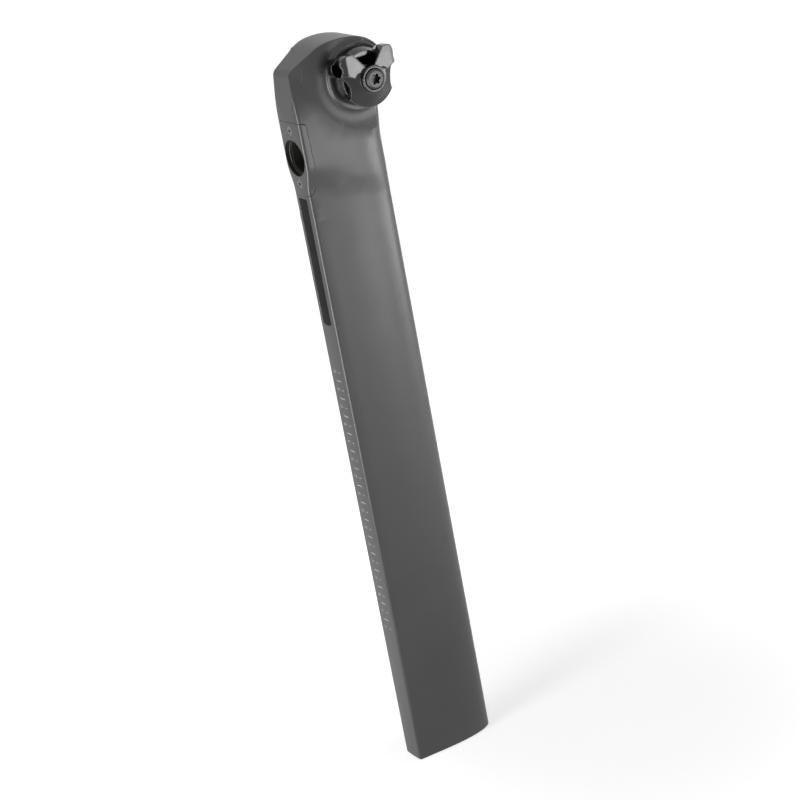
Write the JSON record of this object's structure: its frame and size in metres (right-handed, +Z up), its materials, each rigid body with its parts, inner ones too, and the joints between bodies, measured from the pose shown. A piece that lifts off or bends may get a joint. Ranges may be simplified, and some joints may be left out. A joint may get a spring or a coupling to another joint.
{
  "type": "bicycle seatpost",
  "caption": "Aero bicycle seatpost with a truncated-aerofoil post, a side-clamping rail head on a cross bolt and a round accessory port in its rear face.",
  "frame": {"origin": "bottom end of the post, at the middle of the section's chord and of its width", "axes": "+Z up along the post, +X forward towards the rounded nose, +Y to the rider's left along the clamp bolt"},
  "size_m": [0.0564, 0.0616, 0.4006],
  "materials": {
    "composite": "satin moulded composite",
    "cover_plastic": "satin",
    "clamp_black": "gloss black anodised",
    "bolt_steel": "black oxide",
    "alloy": "machined",
    "carrier_plastic": "matt",
    "gasket_rubber": "matt",
    "insert_brass": "machined",
    "inlay_film": "smooth"
  },
  "bodies": {
    "post": {"post_shell": "composite", "head_sleeve": "alloy", "port_cover": "cover_plastic", "port_holder": "carrier_plastic", "port_gasket": "gasket_rubber", "cover_screw_upper": "bolt_steel", "cover_screw_lower": "bolt_steel", "screw_insert_upper": "insert_brass", "screw_insert_lower": "insert_brass", "rear_inlay": "inlay_film"},
    "rail_clamp": {"inner_clamp_right": "clamp_black", "inner_clamp_left": "clamp_black", "outer_clamp_right": "clamp_black", "outer_clamp_left": "clamp_black", "clamp_bolt": "bolt_steel", "bolt_washer": "bolt_steel", "clamp_nut": "bolt_steel"}
  },
  "joints": [
    {"name": "saddle_tilt", "type": "hinge", "parent": "post", "child": "rail_clamp", "pos_m": [0.012, 0, 0.38], "axis": [0, 1, 0], "range_deg": [-15, 15]}
  ]
}
